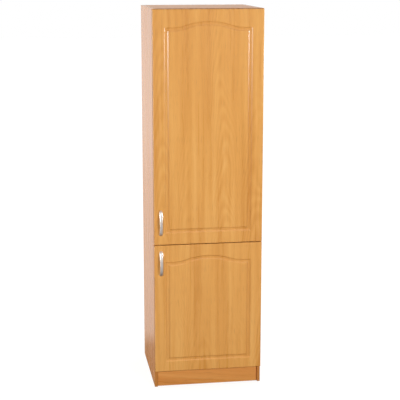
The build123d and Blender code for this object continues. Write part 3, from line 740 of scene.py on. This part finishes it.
WHITE = (1.0, 1.0, 1.0, 1.0)
SOFT_LIGHT = 0.13
FLOOR_HALF = 30.0
FLOOR_GREY = (0.22, 0.216, 0.21, 1.0)
# Floor seen straight on: its white strength, and the distances between which it grows
FLOOR_LIFT, LIFT_REACH = (0.85, 0.97), (1.2, 3.5)
# Floor seen in glossy faces: from which Y to which Y the glow sets in, and its strength
FLOOR_GLOWS = (((0.45, 0.72), 0.45), ((0.8, 9.0), 0.45), ((-0.35, -0.9), 0.4))


def studio_world():
    """Soft even light, with a white backdrop for rays that see it straight on or mirrored."""
    world = bpy.data.worlds.new("studio")
    bpy.context.scene.world = world
    world.use_nodes = True
    tree = world.node_tree
    soft_light = tree.nodes["Background"]
    soft_light.inputs["Color"].default_value = WHITE
    soft_light.inputs["Strength"].default_value = SOFT_LIGHT
    backdrop = put(tree, "ShaderNodeBackground", {"Color": WHITE, "Strength": 1.0})
    rays = put(tree, "ShaderNodeLightPath").outputs
    seen = maths(tree, "MAXIMUM", rays["Is Camera Ray"], rays["Is Glossy Ray"])
    seen = maths(tree, "MAXIMUM", seen, rays["Is Transmission Ray"])
    either = put(tree, "ShaderNodeMixShader", {0: seen, 1: soft_light.outputs[0],
                                              2: backdrop.outputs[0]})
    tree.links.new(either.outputs[0], tree.nodes["World Output"].inputs["Surface"])


def floor_finish():
    """Pale floor that keeps the shadow near the unit and goes over into the white backdrop."""
    material, tree, shader = new_finish("floor_pale")
    shader.inputs["Base Color"].default_value = FLOOR_GREY
    shader.inputs["Roughness"].default_value = 0.9
    shader.inputs["Emission Color"].default_value = WHITE
    rays = put(tree, "ShaderNodeLightPath").outputs
    place = object_place(tree)
    depth = apart(tree, place)["Y"]
    glow = sums(tree, *[(spread(tree, depth, reach, onto=(0.0, 1.0)), strength)
                        for reach, strength in FLOOR_GLOWS])
    mirrored = maths(tree, "MULTIPLY", rays["Is Glossy Ray"], glow)
    away = put(tree, "ShaderNodeVectorMath", {0: place}, operation="LENGTH").outputs["Value"]
    white = spread(tree, away, LIFT_REACH, FLOOR_LIFT)
    straight = maths(tree, "MAXIMUM", rays["Is Camera Ray"], rays["Is Transmission Ray"])
    seen = maths(tree, "MULTIPLY", straight, white)
    lift = sums(tree, (seen, 1.0), (mirrored, 1.0))
    tree.links.new(lift, shader.inputs["Emission Strength"])
    return material


def softbox(name, place, target, width, height, power, lights=True, mirrored=False):
    """Area lamp that lights surfaces, shows in glossy faces, or does both."""
    lamp = bpy.data.lights.new(name, "AREA")
    lamp.shape = "RECTANGLE"
    lamp.size = width
    lamp.size_y = height
    lamp.energy = power
    lamp_object = bpy.data.objects.new(name, lamp)
    lamp_object.location = place
    aim = Vector(target) - Vector(place)
    lamp_object.rotation_euler = aim.to_track_quat("-Z", "Y").to_euler()
    lamp_object.visible_diffuse = lights
    lamp_object.visible_glossy = mirrored
    bpy.context.scene.collection.objects.link(lamp_object)


studio_world()

bm = bmesh.new()
bmesh.ops.create_grid(bm, x_segments=4, y_segments=4, size=FLOOR_HALF)
mesh = bpy.data.meshes.new("studio_floor")
bm.to_mesh(mesh)
bm.free()
floor = bpy.data.objects.new("studio_floor", mesh)
bpy.context.scene.collection.objects.link(floor)
mesh.materials.append(floor_finish())

softbox("right_key", (1.7, -5.2, 2.2), (0, 0, 1.1), width=0.9, height=0.9, power=164)
softbox("left_key", (-1.9, -5.2, 2.2), (0, 0, 1.1), width=0.9, height=0.9, power=101)
softbox("top_softbox", (-0.6, 1.5, 4.7), (-0.1, 0.1, 2.1), width=1.2, height=1.2, power=33)
softbox("left_fill", (-4.0, 0.7, 1.0), (0, 0, 1.0), width=1.6, height=2.2, power=106, mirrored=True)
softbox("right_fill", (4.0, 0.7, 1.0), (0, 0, 1.0), width=1.6, height=2.2, power=70)
softbox("front_sheen", (0.9, -8.0, 1.5), (0, 0, 1.5), width=4.0, height=1.4, power=20,
        lights=False, mirrored=True)
softbox("high_sheen", (0.6, -2.7, 4.0), (0, -0.27, 0.8), width=2.6, height=1.0, power=18,
        lights=False, mirrored=True)
softbox("back_fill", (2.6, 3.6, 2.6), (0, 0, 1.0), width=1.6, height=1.6, power=60)
softbox("left_strip", (-3.2, -1.9, 1.90), (0, -0.27, 1.90), width=0.6, height=0.8, power=58,
        lights=False, mirrored=True)
softbox("right_strip", (3.2, -0.4, 1.90), (0, -0.27, 1.90), width=1.2, height=0.8, power=122,
        lights=False, mirrored=True)

CAMERA_TILT = 0.2097
CAMERA_TURN = -0.1525
camera = bpy.data.cameras.new("photo_camera")
camera.sensor_width = 36.0
camera.lens = 99.0
camera_object = bpy.data.objects.new("photo_camera", camera)
camera_object.location = (-0.9355, -6.0543, 2.3185)
camera_object.rotation_euler = (math.pi / 2 - CAMERA_TILT, 0, CAMERA_TURN)
bpy.context.scene.collection.objects.link(camera_object)
bpy.context.scene.camera = camera_object
bpy.context.scene.view_settings.view_transform = "Standard"
